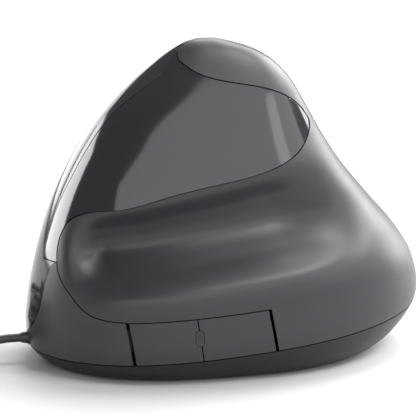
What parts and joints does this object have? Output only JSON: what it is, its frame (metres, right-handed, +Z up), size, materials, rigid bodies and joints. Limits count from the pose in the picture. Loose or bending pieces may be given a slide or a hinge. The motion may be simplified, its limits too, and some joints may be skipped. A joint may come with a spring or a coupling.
{
  "type": "vertical ergonomic mouse with cable",
  "caption": "Tall leaning desk mouse with a thumb hollow, thumb keys, hinged main buttons, a tilting scroll wheel and a tied cable with a plug.",
  "frame": {"origin": "middle of the mouse's footprint box, on the surface under its feet, cord pieces left out", "axes": "+Z up; -X towards the nose where the cable leaves; -Y the thumb side, +Y the finger side"},
  "size_m": [0.1787, 0.0756, 0.0884],
  "materials": {
    "casing": "fine satin moulded plastic",
    "panel": "smooth, slightly glossy coat",
    "glide": "slippery low-friction foot",
    "steel": "zinc plated",
    "clear": "smoky clear moulding",
    "lamp": "tinted lamp body",
    "hub": "satin",
    "tyre_rubber": "ribbed",
    "frame_plastic": "as moulded",
    "switch_case": "as moulded",
    "plunger": "as moulded",
    "board": "lacquered laminate",
    "chip": "moulded case",
    "socket": "as moulded",
    "ribbon": "flat insulated strip",
    "cable_rubber": "smooth flexible jacket",
    "tie": "flexible strap",
    "plug_metal": "nickel plated sheet",
    "tongue": "insulator"
  },
  "bodies": {
    "housing": {"base_shell": "casing", "palm_shell": "casing", "finger_shell": "casing", "front_cheek": "casing", "thumb_panel": "panel", "front_glide": "glide", "rear_glide": "glide", "casing_screws": "steel", "board_screws": "steel", "hinge_rod": "steel", "indicator_window": "clear", "sensor_lens": "clear", "sensor_led": "lamp", "indicator_light": "lamp", "inner_frame": "frame_plastic", "led_clip": "frame_plastic", "side_bracket": "frame_plastic", "main_board": "board", "button_board": "board", "side_board": "board", "sensor_chip": "chip", "control_chip": "chip", "cable_socket": "socket", "left_switch": "switch_case", "right_switch": "switch_case", "middle_switch": "switch_case", "dpi_switch": "switch_case", "forward_switch": "switch_case", "back_switch": "switch_case", "button_ribbon": "ribbon", "side_ribbon": "ribbon", "inner_lead": "cable_rubber", "cable_run": "cable_rubber", "cable_coil": "cable_rubber", "cable_tail": "cable_rubber", "cable_bush": "cable_rubber", "plug_overmould": "cable_rubber", "coil_tie": "tie", "plug_shell": "plug_metal", "plug_tongue": "tongue"},
    "left_button": {"left_button": "casing"},
    "right_button": {"right_button": "casing"},
    "speed_button": {"dpi_button": "casing"},
    "cradle": {"wheel_cradle": "frame_plastic", "encoder": "switch_case"},
    "wheel": {"wheel_hub": "hub", "wheel_tyre": "tyre_rubber"},
    "forward_key": {"forward_key": "casing"},
    "back_key": {"back_key": "casing"},
    "left_plunger": {"left_plunger": "plunger"},
    "right_plunger": {"right_plunger": "plunger"},
    "middle_plunger": {"middle_plunger": "plunger"},
    "speed_plunger": {"dpi_plunger": "plunger"},
    "forward_plunger": {"forward_plunger": "plunger"},
    "back_plunger": {"back_plunger": "plunger"}
  },
  "joints": [
    {"name": "left_press", "type": "hinge", "parent": "housing", "child": "left_button", "pos_m": [0.00502, 0.0086, 0.05185], "axis": [0.0588, -0.4185, 0.9063], "range_deg": [0, 1.3], "stiffness_Nm_per_rad": 0.9},
    {"name": "right_press", "type": "hinge", "parent": "housing", "child": "right_button", "pos_m": [0.00502, 0.0086, 0.05185], "axis": [0.0588, -0.4185, 0.9063], "range_deg": [0, 1.3], "stiffness_Nm_per_rad": 0.9},
    {"name": "speed_press", "type": "slide", "parent": "housing", "child": "speed_button", "axis": [0.1261, -0.8975, -0.4226], "range_m": [0, 0.0005], "stiffness_N_per_m": 1500},
    {"name": "cradle_press", "type": "hinge", "parent": "housing", "child": "cradle", "pos_m": [-0.01403, 0.00766, 0.05265], "axis": [0.0588, -0.4185, 0.9063], "range_deg": [0, 1.5], "stiffness_Nm_per_rad": 0.6},
    {"name": "wheel_spin", "type": "hinge", "parent": "cradle", "child": "wheel", "pos_m": [-0.0279, 0.00571, 0.05265], "axis": [0.0588, -0.4185, 0.9063], "continuous": true},
    {"name": "forward_press", "type": "slide", "parent": "housing", "child": "forward_key", "axis": [0, 1, 0], "range_m": [0, 0.0006], "stiffness_N_per_m": 1500},
    {"name": "back_press", "type": "slide", "parent": "housing", "child": "back_key", "axis": [0, 1, 0], "range_m": [0, 0.0006], "stiffness_N_per_m": 1500},
    {"name": "left_click", "type": "slide", "parent": "housing", "child": "left_plunger", "axis": [0.1261, -0.8975, -0.4226], "range_m": [0, 0.000464]},
    {"name": "right_click", "type": "slide", "parent": "housing", "child": "right_plunger", "axis": [0.1261, -0.8975, -0.4226], "range_m": [0, 0.000464]},
    {"name": "middle_click", "type": "slide", "parent": "housing", "child": "middle_plunger", "axis": [0.1261, -0.8975, -0.4226], "range_m": [0, 0.00035]},
    {"name": "speed_click", "type": "slide", "parent": "housing", "child": "speed_plunger", "axis": [0.1261, -0.8975, -0.4226], "range_m": [0, 0.00035]},
    {"name": "forward_click", "type": "slide", "parent": "housing", "child": "forward_plunger", "axis": [0, 1, 0], "range_m": [0, 0.0005]},
    {"name": "back_click", "type": "slide", "parent": "housing", "child": "back_plunger", "axis": [0, 1, 0], "range_m": [0, 0.0005]}
  ],
  "couplings": [
    {"joint": "left_click", "follows": "left_press", "m_per_rad": 0.02045},
    {"joint": "right_click", "follows": "right_press", "m_per_rad": 0.02045},
    {"joint": "middle_click", "follows": "cradle_press", "m_per_rad": 0.013369},
    {"joint": "speed_click", "follows": "speed_press", "ratio": 0.7},
    {"joint": "forward_click", "follows": "forward_press", "ratio": 0.83333},
    {"joint": "back_click", "follows": "back_press", "ratio": 0.83333}
  ]
}
